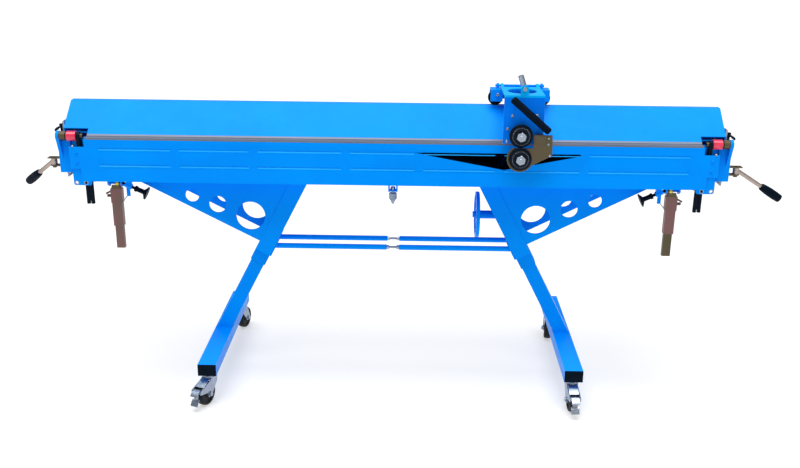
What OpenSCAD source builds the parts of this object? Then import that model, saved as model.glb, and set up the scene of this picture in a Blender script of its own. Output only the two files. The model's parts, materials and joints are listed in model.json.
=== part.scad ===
// Sheet metal brake: a wheeled stand, a lower beam with a steel table blade, a clamping beam
// lifted by two eccentric levers, a folding apron on end hinges, and a rotary slitter that
// runs on the ridge of the clamping beam.
// Millimetres. X runs along the bend, Y from front to rear, Z up, floor at Z = 0.

/* [Bend line] */
// Height of the table and of the bend line above the floor
bend_z = 860; // [820:1:900]
// Working length of the blades
blade_len = 1960; // [1900:10:1990]

/* [Clamping beam] */
// Overall length of the clamping beam
beam_len = 2120; // [2110:2:2124]
// Slope of its front face, degrees from level
face_slope = 39.2; // [36:0.2:41]
// Height of its ridge above the bend line
ridge_h = 94; // [88:1:100]
// Sheet thickness of its shell
beam_wall = 3; // [2:0.5:4]

/* [Apron] */
// Height of the apron below the bend line
apron_h = 145; // [135:1:150]
// Depth of the apron from front to rear
apron_d = 40; // [36:1:40]
// Overall length of the apron
apron_len = 2068; // [2060:2:2070]
// Height of the steel folding blade
apron_blade_h = 7; // [6:0.5:10]

/* [Stand] */
// Distance from the centre to each foot beam
foot_x = 596; // [560:1:620]
// Length of a foot beam without its caps
foot_len = 636; // [600:2:680]
// Height of the top of the foot beams
foot_top = 148; // [147:1:150]
// Lean of the columns from upright, degrees
column_lean = 27.3; // [26:0.1:28]
// Distance between the outer faces of the front and rear gusset plates
gusset_span = 128; // [120:2:140]

/* [Casters] */
// Wheel diameter
wheel_d = 80; // [76:1:82]
// Wheel width
wheel_w = 27; // [24:1:28]
// Trail of the wheel behind its stem
caster_trail = 30; // [26:1:32]

/* [Clamp levers] */
// Throw of the eccentric
ecc_throw = 12; // [8:0.5:12]
// Turn of the lever from clamped to open, degrees
lever_turn = 120; // [100:5:120]

/* [Slitter] */
// Position of the slitter along the beam
slitter_x = 407; // [300:1:500]
// Radius of the upper knife
knife_r = 36.5; // [36:0.5:37]

/* [Hidden] */
$fn = 48;

BLUE = [0.02, 0.42, 0.90];
STEEL = [0.72, 0.73, 0.76];
ZINC = [0.62, 0.66, 0.72];
YELLOW_ZINC = [0.48, 0.44, 0.34];
BLACK = [0.05, 0.05, 0.06];
RED = [0.80, 0.10, 0.20];

eps = 0.01;                 // cutters pass a face by this much
sides = [-1, 1];
run_gap = 0.05;             // radial clearance of a running fit

// Bend line and blades
bend_y = -138;
blade_gap = 0.2;            // each folding blade face stands off the hinge line by this much
sheet_gap = 0.6;            // gap kept between the closed blades
table_blade_h = 10;
table_blade_rear = -57;

// Lower beam
low_front = -112;
low_rear = 60;
low_bottom = 712;
low_wall = 4;
low_half = 1040;

// Clamping beam section
beam_half = beam_len / 2;
nose_blade_h = 5;
shell_bottom = bend_z + sheet_gap + nose_blade_h - 1;
shell_front = bend_y + (shell_bottom - bend_z) / tan(face_slope);
ridge_z = bend_z + ridge_h;
ridge_front = bend_y + ridge_h / tan(face_slope);
ridge_w = 26;
rear_drop_z = 905;
rear_y = 62;
notch_x = blade_len / 2;    // the clamping beam is notched outside this for the hinges
notch_rear = -112;
notch_top = 880;

// Apron
apron_front = bend_y - 20;
apron_bottom = bend_z - apron_h;
apron_skin = 6;
apron_wall = 4;
apron_top = bend_z - apron_blade_h;
apron_notch_top = bend_z - 32;
apron_step = bend_z - 103;  // the skin's ends are cut back below this
step_x = 1000;
tab_bottom = 700;
tab_round = 8;
tab_t = 4;
tab_in = 972;
tab_out = 1030;
tab_holes = [990, 1020];
dashes = [230, 222, 266, 204, 228, 240, 317]; // pressed grooves in one row, left to right
dash_gap = 29;
dash_h = 5;
groove_d = 2.5;
groove_rows = [bend_z - 37.5, bend_z - 91];

// Hinges
pin_r = 8;
bush_r = 16;
ear_x = 1000;
ear_w = 10;

// End cheeks and clamp mechanism
cheek_in = low_half;
cheek_out = 1076;
cheek_t = 4;
cheek_front = -124;
cheek_top = 856;
cheek_bottom = 735;
shaft_y = -60;
shaft_z = 757;
shaft_r = 10;
disc_r = 24;
disc_x = 1060;
disc_w = 8;
strap_x = beam_half + 1;
strap_t = 6;
half_turn = lever_turn / 2;
lift = 2 * ecc_throw * sin(half_turn);
yoke_slack = 1.1;           // the lift is nearly but not quite proportional to the turn
hub_x = 1082;
knuckle_x = 1122;           // upright pin on which the lever folds
knuckle_r = 4;
flange_half = 12;
flange_top = [767, 770];
flange_low = [741, 745];
rod_r = 7;
rod_start = [1132, 753];
rod_end = [1210, 704];
grip_end = [1275, 663.2];
left_fold = 34;             // the left lever stands folded this far to the rear

// Stand
foot_w = 60;
foot_h = 40;
column_w = 47;
socket_w = 54;
tube_wall = 3;
col_top_x = foot_x - (low_bottom - foot_top) * tan(column_lean);
socket_end = 353;           // distances down the column's axis from its top
plate_end = 298;
gusset_edge = 265;
plate_t = 4;
strip_half = 27;
strap_wall = 4;
tie_y = 46;
tie_z = 467;
tie_r = 9;
tie_gap = 21;
tie_reach = 400;

// Slitter
plate_half = 63;
plate_top = 1017;
plate_y = -184;
plate_bottom = 864;
roller_r = 24;
roller_w = 16;
roller_x = 77;
roller_y = ridge_front + ridge_w / 2;
roller_z = ridge_z + roller_r + 0.3;
ear_drop = 7;               // the trolley's ears end this far below the rollers' axles
web_z = roller_z + roller_r + 3;
tilt_y = -14;
tilt_z = web_z + 12.5;
cut_x = slitter_x - 9;
nip_z = bend_z - 1;
upper_cut_z = nip_z + knife_r - 0.5;
lower_knife_r = knife_r - 1;
lower_cut_z = nip_z - lower_knife_r + 0.5;
nip_y = -214;
axle_r = 6;
lock_z = 1036;

// Gauge arms
gauge_x = 911;
gauge_y = -95;
gauge_z = 694;
channel_w = 33;
channel_d = 22;
channel_t = 2.5;
channel_top = 676;
head_bottom = 628;
channel_end = 548;
slide_end = 470;
plunger_slope = 24;
plunger_r = 5;
plunger_travel = 8;
plunger_at = [848, 679.5];
plunger_y = gauge_y - 10;

// Casters: [side, y of the stem, direction of the trail in degrees]
stem_front = -278;
stem_rear = 290;
head_r = 21;
fork_top = 97;
caster_fl = [-1, stem_front, 248];
caster_fr = [1, stem_front, 272];
caster_rl = [-1, stem_rear, 75];
caster_rr = [1, stem_rear, 260];

// Handwheel
wheel_x = 285;
wheel_z = 574;
rim_r = 78;

// ---- helpers -------------------------------------------------------------------------------

function normal(a, b) = [a[1] - b[1], b[0] - a[0]] / norm(b - a);
function shifted(p, n1, n2, t) = p + t * (n1 + n2) / (1 + n1 * n2);

// A closed outline moved inwards by t (for a counter-clockwise outline).
function inset(pts, t) = let (n = len(pts)) [for (i = [0 : n - 1])
    let (a = pts[(i + n - 1) % n], b = pts[i], c = pts[(i + 1) % n])
    shifted(b, normal(a, b), normal(b, c), t)];

// A bent strip of sheet of thickness t laid to the left of an open path.
function strip(path, t) = let (n = len(path)) concat(path, [for (i = [n - 1 : -1 : 0])
    i == 0 ? path[0] + t * normal(path[0], path[1])
    : i == n - 1 ? path[i] + t * normal(path[i - 1], path[i])
    : shifted(path[i], normal(path[i - 1], path[i]), normal(path[i], path[i + 1]), t)]);

// A point at distance s down the right column's axis and t outwards from it.
function on_column(s, t) = [col_top_x + s * sin(column_lean) + t * cos(column_lean),
    low_bottom - s * cos(column_lean) + t * sin(column_lean)];

// Turns a Y-Z outline into a length along X.
module along_x(from, to) translate([from, 0, 0]) rotate([90, 0, 90]) linear_extrude(to - from) children();

// Turns an X-Z outline into a thickness along Y.
module along_y(from, to) translate([0, to, 0]) rotate([90, 0, 0]) linear_extrude(to - from) children();

// A cylinder along X or Y.
module rod_x(r, from, to, y = 0, z = 0) translate([from, y, z]) rotate([0, 90, 0]) cylinder(r = r, h = to - from);
module rod_y(r, from, to, x = 0, z = 0) translate([x, from, z]) rotate([-90, 0, 0]) cylinder(r = r, h = to - from);

module box(low, high) translate(low) cube(high - low);

// The same thing at both ends.
module both() for (s = sides) on_side(s) children();
module on_side(s) mirror([s < 0 ? 1 : 0, 0, 0]) children();

// A hexagonal nut or bolt head along X or Y, by its width across flats.
module hex_x(af, from, to, y, z, bore = 0) translate([from, y, z]) rotate([0, 90, 0]) difference() {
    cylinder(d = af / cos(30), h = to - from, $fn = 6);
    if (bore > 0) translate([0, 0, -1]) cylinder(r = bore, h = to - from + 2);
}
module hex_y(af, from, to, x, z) translate([x, from, z]) rotate([-90, 0, 0]) cylinder(d = af / cos(30), h = to - from, $fn = 6);

// ---- stand ---------------------------------------------------------------------------------

module foot_beams() color(BLUE) both() difference() {
    box([foot_x - foot_w / 2, -foot_len / 2, foot_top - foot_h], [foot_x + foot_w / 2, foot_len / 2, foot_top]);
    box([foot_x - foot_w / 2 + tube_wall, -foot_len / 2 - 1, foot_top - foot_h + tube_wall],
        [foot_x + foot_w / 2 - tube_wall, foot_len / 2 + 1, foot_top - tube_wall]);
    for (y = [stem_front, stem_rear]) translate([foot_x, y, foot_top - foot_h - 1]) cylinder(r = 6.2, h = tube_wall + 2);
}

module foot_end_caps() color(BLACK) both() for (s = sides) {
    y = s * foot_len / 2;
    plug = foot_w / 2 - tube_wall - 0.2;
    box([foot_x - foot_w / 2, min(y, y + 3 * s), foot_top - foot_h], [foot_x + foot_w / 2, max(y, y + 3 * s), foot_top]);
    box([foot_x - plug, min(y, y - 14 * s), foot_top - foot_h + tube_wall + 0.2],
        [foot_x + plug, max(y, y - 14 * s), foot_top - tube_wall - 0.2]);
}

// A square tube down the column's axis, from s0 to s1.
module column_tube(w, wall, s0, s1) translate([col_top_x, 0, low_bottom]) rotate([0, 180 - column_lean, 0])
    translate([0, 0, s0]) linear_extrude(s1 - s0) difference() {
        square(w, center = true);
        square(w - 2 * wall, center = true);
    }

module stand_columns() color(BLUE) both() difference() {
    column_tube(column_w, tube_wall, 250, 700);
    box([foot_x - 200, -100, 0], [foot_x + 200, 100, foot_top]);
}

module column_sockets() color(BLUE) both() difference() {
    column_tube(socket_w, (socket_w - column_w) / 2 - 0.3, -40, socket_end);
    box([0, -100, low_bottom], [foot_x + 200, 100, low_bottom + 100]);
}

module gusset_outline() {
    p = on_column(gusset_edge, strip_half - 1);
    tip = on_column(gusset_edge, 466);
    difference() {
        union() {
            polygon([on_column(-40, -strip_half), on_column(plate_end, -strip_half), on_column(plate_end, strip_half),
                on_column(-40, strip_half)]);
            polygon([p, tip, [tip[0] + 6, low_bottom], on_column(0, strip_half - 1)]);
        }
        translate([0, low_bottom]) square([1200, 200]);
        for (h = [[477, 577.5, 48.5], [586, 616, 28.5], [670, 646, 22.5]]) translate([h[0], h[1]]) circle(h[2]);
    }
}

module gusset_plates() color(BLUE) both() for (s = sides) {
    y = s * gusset_span / 2;
    along_y(min(y, y - s * plate_t), max(y, y - s * plate_t)) gusset_outline();
}

// Straps across the inner edges of the leg plates, where the tie tubes are welded.
module tie_straps() color(BLUE) both() translate([col_top_x, 0, low_bottom]) rotate([0, 180 - column_lean, 0])
    translate([strip_half, -gusset_span / 2, 235]) cube([strap_wall, gusset_span, plate_end - 235]);

module tie_tubes() color(BLUE) both() for (s = sides) difference() {
    rod_x(tie_r, tie_gap, tie_reach, s * tie_y, tie_z);
    rod_x(tie_r - 2, tie_gap - 1, tie_reach + 1, s * tie_y, tie_z);
    leg_side(strip_half + strap_wall);
}

// Threaded studs with a nut at each tube's mouth join the halves and set the stand's width.
module tie_turnbuckles() color(ZINC) for (s = sides) {
    rod_x(4, -tie_gap - 40, tie_gap + 40, s * tie_y, tie_z);
    for (k = sides) on_side(k) hex_x(13, tie_gap - 8, tie_gap - 0.5, s * tie_y, tie_z, 4);
}

module lower_beam() color(BLUE) difference() {
    outline = [[low_front, low_bottom], [low_rear, low_bottom], [low_rear, bend_z], [table_blade_rear, bend_z],
        [table_blade_rear, bend_z - table_blade_h], [low_front, bend_z - table_blade_h]];
    along_x(-low_half, low_half) difference() {
        polygon(outline);
        polygon(inset(outline, low_wall));
    }
}

module table_blade() color(STEEL) along_x(-blade_len / 2, blade_len / 2)
    polygon([[bend_y + blade_gap, bend_z], [bend_y + blade_gap, bend_z - 5], [bend_y + 8, bend_z - table_blade_h],
        [table_blade_rear - 0.2, bend_z - table_blade_h], [table_blade_rear - 0.2, bend_z]]);

module cheek_outline(front) polygon([[front, cheek_bottom], [20, cheek_bottom], [54, cheek_bottom + 50], [54, cheek_top],
    [front, cheek_top]]);

// A folded channel at each end carries the clamp shaft and, on a forward ear, the hinge pin.
module end_cheeks() color(BLUE) both() difference() {
    union() {
        along_x(cheek_in, cheek_in + cheek_t) cheek_outline(cheek_front);
        along_x(cheek_out, cheek_out + cheek_t) cheek_outline(cheek_front);
        box([cheek_in, cheek_front, cheek_bottom], [cheek_out + cheek_t, cheek_front + cheek_t, cheek_top]);
        along_x(cheek_out - 10, cheek_out) difference() {
            union() {
                translate([bend_y, bend_z]) circle(16);
                polygon([[bend_y - 16, bend_z], [bend_y + 16, bend_z], [cheek_front + 8, cheek_top], [cheek_front + 8, 780],
                    [cheek_front, 780]]);
            }
            translate([bend_y, bend_z]) circle(pin_r);
        }
    }
    rod_x(shaft_r + run_gap, cheek_in - 1, cheek_out + cheek_t + 1, shaft_y, shaft_z);
}

module hinge_pins() color(ZINC) both() {
    rod_x(pin_r, ear_x - 8, cheek_out, bend_y, bend_z);
    hex_x(27, cheek_out - 30, cheek_out - 10.3, bend_y, bend_z, pin_r);
}

module hinge_bushes() color(RED) both() difference() {
    rod_x(bush_r, ear_x + ear_w + 2, cheek_out - 34, bend_y, bend_z);
    rod_x(pin_r, ear_x, cheek_out, bend_y, bend_z);
}

module crown_bracket() {
    difference() {
        union() {
            box([-22, -100, low_bottom - 5], [22, -60, low_bottom]);
            for (s = sides) box([s * 13 - 2.5, -94, 676], [s * 13 + 2.5, -66, low_bottom - 4]);
            box([-13, -90, 676], [13, -70, 680]);
        }
        rod_x(4, -30, 30, -80, 699);
        translate([0, -80, 670]) cylinder(r = 5 + run_gap, h = 12);
    }
    rod_x(4, -20, 20, -80, 699);
    for (s = sides) on_side(s) rod_x(5.5, 15.6, 22, -80, 699);
}

// Screw under the middle of the beam that sets its crown.
module crown_screw() color(ZINC) translate([0, -80, 0]) difference() {
    union() {
        translate([0, 0, 640]) cylinder(r = 5, h = 50);
        translate([0, 0, 648]) cylinder(r = 13, h = 22);
        translate([0, 0, 640]) cylinder(r1 = 6, r2 = 11, h = 8 + eps);
        translate([0, 0, 632]) cylinder(r1 = 4, r2 = 6, h = 8 + eps);
        translate([0, 0, 682]) cylinder(r = 8, h = 5);
    }
    for (a = [0 : 60 : 300]) rotate(a) translate([14.5, 0, 647]) cylinder(r = 3, h = 24);
}

// Everything on the outer side of a plane along the right leg, t inwards from its axis.
module leg_side(t) translate([col_top_x, 0, low_bottom]) rotate([0, 180 - column_lean, 0])
    translate([-300, -150, -100]) cube([300 + t, 300, 900]);

module handwheel_arm() color(BLUE) difference() {
    rod_x(14, wheel_x + 7, 372, 0, wheel_z);
    rod_x(8 + run_gap, wheel_x + 6, wheel_x + 50, 0, wheel_z);
    leg_side(socket_w / 2);
}

module handwheel() color(BLUE) {
    difference() {
        rod_x(rim_r, wheel_x - 6, wheel_x + 6, 0, wheel_z);
        rod_x(rim_r - 12, wheel_x - 7, wheel_x - 2, 0, wheel_z);
        rod_x(rim_r - 12, wheel_x + 2, wheel_x + 7, 0, wheel_z);
        for (a = [30 : 60 : 330]) rod_x(12, wheel_x - 7, wheel_x + 7, 42 * cos(a), wheel_z + 42 * sin(a));
    }
    rod_x(16, wheel_x - 6, wheel_x + 6, 0, wheel_z);
    rod_x(8, wheel_x + 5, wheel_x + 48, 0, wheel_z);
    hex_x(19, wheel_x - 15, wheel_x - 6 + eps, 0, wheel_z);
}

// ---- casters -------------------------------------------------------------------------------

module at_caster(c) translate([c[0] * foot_x, c[1], 0]) rotate(c[2]) children();

module caster_stems() color(ZINC) for (c = [caster_fl, caster_fr, caster_rl, caster_rr]) at_caster(c) {
    translate([0, 0, foot_top - foot_h - 9]) cylinder(r = head_r, h = 9);
    translate([0, 0, fork_top - 8]) cylinder(r = 6, h = foot_top - fork_top - tube_wall - 1 + 8);
    translate([0, 0, foot_top - foot_h + tube_wall]) cylinder(d = 19 / cos(30), h = 10, $fn = 6);
}

// Fork with its axle, trailing along +X before it is turned into place.
module caster_fork() difference() {
    union() {
        translate([0, 0, fork_top - 11]) cylinder(r = head_r + 2, h = 11);
        for (s = sides) along_y(s * (wheel_w / 2 + 3.5) - 1.5, s * (wheel_w / 2 + 3.5) + 1.5)
            polygon([[-14, fork_top - 11 + eps], [24, fork_top - 11 + eps], [caster_trail + 13, wheel_d / 2 + 8],
                [caster_trail + 9, wheel_d / 2 - 9], [caster_trail - 9, wheel_d / 2 - 9], [-12, fork_top - 26]]);
        for (s = sides) box([-14, min(s * 14, s * (wheel_w / 2 + 5)), fork_top - 11], [24, max(s * 14, s * (wheel_w / 2 + 5)), fork_top - 7]);
        translate([caster_trail, 0, wheel_d / 2]) rod_y(5, -wheel_w / 2 - 7, wheel_w / 2 + 7);
        for (s = sides) translate([caster_trail, 0, wheel_d / 2])
            hex_y(13, min(s * (wheel_w / 2 + 5), s * (wheel_w / 2 + 9)), max(s * (wheel_w / 2 + 5), s * (wheel_w / 2 + 9)), 0, 0);
    }
    translate([0, 0, fork_top - 12]) cylinder(r = 6 + run_gap, h = 20);
}

module caster_wheel() translate([caster_trail, 0, wheel_d / 2]) difference() {
    union() {
        rod_y(wheel_d / 2, -wheel_w / 2 + 3, wheel_w / 2 - 3);
        for (s = sides) on_face(s) translate([0, wheel_w / 2 - 3, 0]) rotate([-90, 0, 0])
            cylinder(r1 = wheel_d / 2, r2 = wheel_d / 2 - 4, h = 3);
    }
    rod_y(5 + run_gap, -wheel_w, wheel_w);
    for (s = sides) on_face(s) difference() {
        rod_y(wheel_d / 2 - 11, wheel_w / 2 - 4, wheel_w / 2 + 1);
        rod_y(12, 0, wheel_w);
    }
}
module on_face(s) mirror([0, s < 0 ? 1 : 0, 0]) children();

// Foot pedal hinged on the fork ahead of the wheel, shown pressed down.
module brake_pedal() {
    difference() {
        union() {
            translate([caster_trail + 46, 0, 64]) rod_y(6, -13, 13);
            along_y(-14, 14) polygon([[caster_trail + 44, 58], [caster_trail + 52, 60], [caster_trail + 62, 32],
                [caster_trail + 52, 24]]);
        }
        translate([caster_trail + 46, 0, 64]) rod_y(3 + run_gap, -20, 20);
    }
}

// Two arms from the fork's sides carry the pedal's pin.
module pedal_arms() {
    for (s = sides) along_y(s * (wheel_w / 2 + 3.5) - 1.5, s * (wheel_w / 2 + 3.5) + 1.5)
        polygon([[10, fork_top - 11], [24, fork_top - 11], [caster_trail + 52, 70], [caster_trail + 52, 58],
            [caster_trail + 42, 56], [caster_trail + 8, wheel_d / 2 + 8]]);
    translate([caster_trail + 46, 0, 64]) rod_y(3, -wheel_w / 2 - 5, wheel_w / 2 + 5);
}

module caster_fork_front_left() color(ZINC) at_caster(caster_fl) { caster_fork(); pedal_arms(); }
module caster_fork_front_right() color(ZINC) at_caster(caster_fr) { caster_fork(); pedal_arms(); }
module caster_fork_rear_left() color(ZINC) at_caster(caster_rl) caster_fork();
module caster_fork_rear_right() color(ZINC) at_caster(caster_rr) caster_fork();
module caster_wheel_front_left() color(BLACK) at_caster(caster_fl) caster_wheel();
module caster_wheel_front_right() color(BLACK) at_caster(caster_fr) caster_wheel();
module caster_wheel_rear_left() color(BLACK) at_caster(caster_rl) caster_wheel();
module caster_wheel_rear_right() color(BLACK) at_caster(caster_rr) caster_wheel();
module brake_pedal_left() color(ZINC) at_caster(caster_fl) brake_pedal();
module brake_pedal_right() color(ZINC) at_caster(caster_fr) brake_pedal();

// ---- clamping beam -------------------------------------------------------------------------

shell = [[shell_front, shell_bottom], [rear_y, shell_bottom], [rear_y, rear_drop_z], [ridge_front + ridge_w, ridge_z],
    [ridge_front, ridge_z]];

module upper_beam() color(BLUE) difference() {
    union() {
        along_x(-beam_half, beam_half) difference() {
            polygon(shell);
            polygon(inset(shell, beam_wall));
        }
        both() along_x(beam_half - beam_wall, beam_half) polygon(inset(shell, beam_wall - eps));
    }
    both() {
        box([notch_x, -160, bend_z], [beam_half + 1, notch_rear, notch_top]);
        rod_x(20, beam_half - 10, beam_half + 10, -10, 905);
    }
    // The steel nose blade lies under the front of the shell.
    box([-notch_x - 1, -160, bend_z], [notch_x + 1, table_blade_rear + eps, bend_z + sheet_gap + nose_blade_h]);
}

module upper_blade() color(STEEL) along_x(-blade_len / 2, blade_len / 2) polygon([[bend_y + 0.8, bend_z + sheet_gap],
    [table_blade_rear - 0.2, bend_z + sheet_gap], [table_blade_rear - 0.2, bend_z + sheet_gap + nose_blade_h - 0.05],
    [bend_y + 0.8 + nose_blade_h / tan(face_slope), bend_z + sheet_gap + nose_blade_h - 0.05]]);

yoke_low = [shaft_y - ecc_throw - disc_r - 0.4, shaft_z - ecc_throw * sin(half_turn) - disc_r - yoke_slack];
yoke_high = [shaft_y - ecc_throw * cos(half_turn) + disc_r + 0.4, shaft_z - ecc_throw * sin(half_turn) + disc_r + yoke_slack];

// A flat link bolted to each end of the beam, with a window for the eccentric.
module lift_straps() color(ZINC) both() difference() {
    box([strap_x - 0.8, yoke_low[0] - 7, yoke_low[1] - 6], [strap_x + strap_t - 0.8, yoke_high[0] + 7, 900]);
    box([strap_x - 2, yoke_low[0], yoke_low[1]], [strap_x + strap_t + 1, yoke_high[0], yoke_high[1]]);
}

// Adjuster brackets outside the straps, each with its bolt.
module lift_brackets() color(ZINC) both() {
    x0 = strap_x + strap_t - 0.6;
    difference() {
        union() {
            box([x0, -96, cheek_top + 3], [x0 + 4, -62, 892]);
            along_y(-96, -62) polygon([[x0, 884], [1092, 876], [1096, 872], [1097, 866], [1094, 864], [1092, 871], [x0, 879]]);
        }
        translate([1079, -79, 860]) cylinder(r = 4.2, h = 40);
    }
    translate([1079, -79, cheek_top + 0.6]) cylinder(r = 4, h = 30);
    translate([1079, -79, 880]) cylinder(d = 13 / cos(30), h = 6, $fn = 6);
    for (z = [866, 888]) hex_x(8, x0 + 4, x0 + 8, -67, z);
}

// ---- clamp hubs and levers -----------------------------------------------------------------

// Shaft, eccentric and the forked bracket that holds the lever, welded in one.
module clamp_hub() {
    ecc = [shaft_y - ecc_throw * cos(half_turn), shaft_z - ecc_throw * sin(half_turn)];
    rod_x(shaft_r, cheek_in + 1, hub_x + 1, shaft_y, shaft_z);
    rod_x(disc_r, disc_x, disc_x + disc_w, ecc[0], ecc[1]);
    box([hub_x, shaft_y - 25, 735], [hub_x + 6, shaft_y + 25, 778]);
    box([hub_x + 5, shaft_y - flange_half, flange_top[0]], [1140, shaft_y + flange_half, flange_top[1]]);
    box([hub_x + 5, shaft_y - flange_half, flange_low[0]], [knuckle_x, shaft_y + flange_half, flange_low[1]]);
    translate([knuckle_x, shaft_y, flange_low[0]]) cylinder(r = flange_half, h = flange_low[1] - flange_low[0]);
    translate([knuckle_x, shaft_y, flange_low[0] - 4]) cylinder(r = knuckle_r, h = flange_top[1] - flange_low[0] + 6);
    translate([knuckle_x, shaft_y, flange_low[0] - 6]) cylinder(d = 13 / cos(30), h = 6 + eps, $fn = 6);
}

// A length along the lever's slope in its own plane, a rod or a grip.
module on_slope(from, to) translate([from[0], shaft_y, from[1]])
    rotate([0, atan2(to[0] - from[0], to[1] - from[1]), 0]) children();

module lever_arm() difference() {
    union() {
        translate([knuckle_x, shaft_y, flange_low[1] + 0.5]) cylinder(r = 10, h = flange_top[0] - flange_low[1] - 1);
        box([knuckle_x, shaft_y - 6, flange_low[1] + 0.5], [rod_start[0] + 2, shaft_y + 6, flange_low[1] + 15]);
        on_slope(rod_start, rod_end) translate([0, 0, -6]) cylinder(r = rod_r, h = norm(rod_end - rod_start) + 46);
    }
    translate([knuckle_x, shaft_y, flange_low[0]]) cylinder(r = knuckle_r + run_gap, h = 40);
    translate([knuckle_x, shaft_y, flange_low[0] - 10]) cylinder(r = flange_half + 0.6, h = flange_low[1] - flange_low[0] + 10.5 - eps);
}

module lever_grip() on_slope(rod_end, grip_end) difference() {
    grip_len = norm(grip_end - rod_end);
    rotate_extrude() polygon([[0, 0], [10.5, 0], [12, 3], [14.5, 26], [15, 44], [14.5, 66], [12.5, 79], [8, grip_len], [0, grip_len]]);
    translate([0, 0, -1]) cylinder(r = rod_r, h = 41.2);
    for (k = [0 : 5]) translate([0, 0, 34 + 6 * k]) rotate_extrude() translate([15, 0]) square([2, 2.4], center = true);
}

// Swings a lever about its upright pin.
module folded(a) translate([knuckle_x, shaft_y, 0]) rotate(a) translate([-knuckle_x, -shaft_y, 0]) children();

module clamp_hub_left() color(ZINC) mirror([1, 0, 0]) clamp_hub();
module clamp_hub_right() color(ZINC) clamp_hub();
module lever_arm_left() color(ZINC) mirror([1, 0, 0]) folded(left_fold) lever_arm();
module lever_arm_right() color(ZINC) lever_arm();
module lever_grip_left() color(BLACK) mirror([1, 0, 0]) folded(left_fold) lever_grip();
module lever_grip_right() color(BLACK) lever_grip();

// ---- apron ---------------------------------------------------------------------------------

module apron_beam() color(BLUE) difference() {
    union() {
        along_x(-step_x, step_x) polygon(strip([
            [apron_front + 19.4, apron_top - 6], [apron_front + 19.4, apron_top], [apron_front, apron_top], [apron_front, apron_bottom],
            [apron_front + apron_d, apron_bottom], [apron_front + apron_d, apron_bottom + 24]], apron_wall));
        box([-apron_len / 2, apron_front, apron_bottom], [apron_len / 2, apron_front + apron_skin, apron_top]);
        both() {
            along_x(apron_len / 2 - 5, apron_len / 2) polygon([[apron_front, apron_step], [apron_front + apron_d - 4, apron_step],
                [apron_front + apron_d - 4, apron_notch_top - 20], [apron_front + 18, apron_notch_top], [apron_front, apron_notch_top]]);
        }
    }
    both() {
        box([notch_x + 5, apron_front - 1, apron_notch_top], [apron_len / 2 + 1, bend_y + 2, bend_z]);
        box([step_x, apron_front - 1, apron_bottom - 1], [apron_len / 2 + 1, apron_front + apron_skin + eps, apron_step]);
        // Slot in the floor for the corner tab.
        box([tab_in, apron_front + apron_skin, apron_bottom - 1],
            [step_x + 1, apron_front + apron_skin + tab_t, apron_bottom + apron_wall + eps]);
    }
    for (z = groove_rows) for (i = [0 : len(dashes) - 1])
        translate([dash_start(i), apron_front - eps, z - dash_h / 2]) cube([dashes[i], groove_d + eps, dash_h]);
}

// Drilled corner tabs welded behind the skin.
module apron_tabs() color(BLUE) both() difference() {
    back = apron_front + apron_skin;
    union() {
        box([tab_in, back, tab_bottom + tab_round], [tab_out, back + tab_t, apron_step]);
        box([tab_in + tab_round, back, tab_bottom], [tab_out - tab_round, back + tab_t, apron_step]);
        for (x = [tab_in + tab_round, tab_out - tab_round]) rod_y(tab_round, back, back + tab_t, x, tab_bottom + tab_round);
    }
    for (x = tab_holes) rod_y(4.5, back - 1, back + tab_t + 1, x, tab_bottom + 9);
}

total_dashes = run_of(len(dashes) - 1) + dashes[len(dashes) - 1];
function run_of(i) = i == 0 ? 0 : run_of(i - 1) + dashes[i - 1] + dash_gap;
function dash_start(i) = run_of(i) - total_dashes / 2;

module apron_blade() color(STEEL) box([-blade_len / 2, apron_front, apron_top], [blade_len / 2, bend_y - blade_gap, bend_z]);

// Hinge ears bolted inside the apron's ends.
module apron_ears() color(BLACK) both() {
    difference() {
        union() {
            rod_x(13, ear_x, ear_x + ear_w, bend_y, bend_z);
            along_x(ear_x, ear_x + ear_w) polygon([[bend_y - 13, bend_z], [bend_y + 13, bend_z], [apron_front + 34, apron_notch_top - 10],
                [apron_front + 34, apron_step + 1], [apron_front + apron_skin + 0.1, apron_step + 1],
                [apron_front + apron_skin + 0.1, apron_notch_top - 10]]);
        }
        rod_x(pin_r + run_gap, ear_x - 1, ear_x + ear_w + 1, bend_y, bend_z);
    }
}

// Round-headed bolts on the front of the apron's ends and a screw on each end's upper edge.
module apron_bolts() color(ZINC) both() {
    for (z = [apron_notch_top - 20, apron_notch_top - 52]) rod_y(5.5, apron_front - 3.5, apron_front - 0.05, ear_x + 12, z);
    translate([ear_x + 22, apron_front + 3, apron_notch_top + 0.05]) cylinder(r = 5, h = 6);
}

// Pulling handle under each end: a split bar on a foot plate.
module apron_handles() color(BLACK) both() {
    box([984 - 22, -147, apron_bottom - 4], [984 + 6, -128, apron_bottom]);
    for (s = sides) translate([984 + 7 * s, -140, 636]) cylinder(r = 6.3, h = apron_bottom - 637);
    box([984 - 7, -143, 645], [984 + 7, -137, apron_bottom - 1]);
}

// ---- slitter -------------------------------------------------------------------------------

module slitter_trolley() color(BLUE) translate([slitter_x, 0, 0]) {
    box([-95, -44, web_z], [95, 6, web_z + 4]);
    for (s = sides) box([min(s * 56, s * 95), -46, roller_z - ear_drop], [max(s * 56, s * 95), -42, web_z + 4]);
    box([-95, 2, roller_z - ear_drop], [95, 6, web_z + 4]);
    for (s = sides) rod_y(5, -47, 7, s * roller_x, roller_z);
    for (s = sides) hex_y(10, -51, -46 + eps, s * (roller_x - 5), roller_z + 15);
    // Lugs and pin on which the cutting head tips back.
    for (s = sides) along_x(min(s * 67, s * 75), max(s * 67, s * 75)) {
        translate([tilt_y, tilt_z]) circle(8);
        polygon([[tilt_y - 8, web_z + 3], [tilt_y + 8, web_z + 3], [tilt_y + 8, tilt_z], [tilt_y - 8, tilt_z]]);
    }
    rod_x(4, -79, 79, tilt_y, tilt_z);
}

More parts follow.
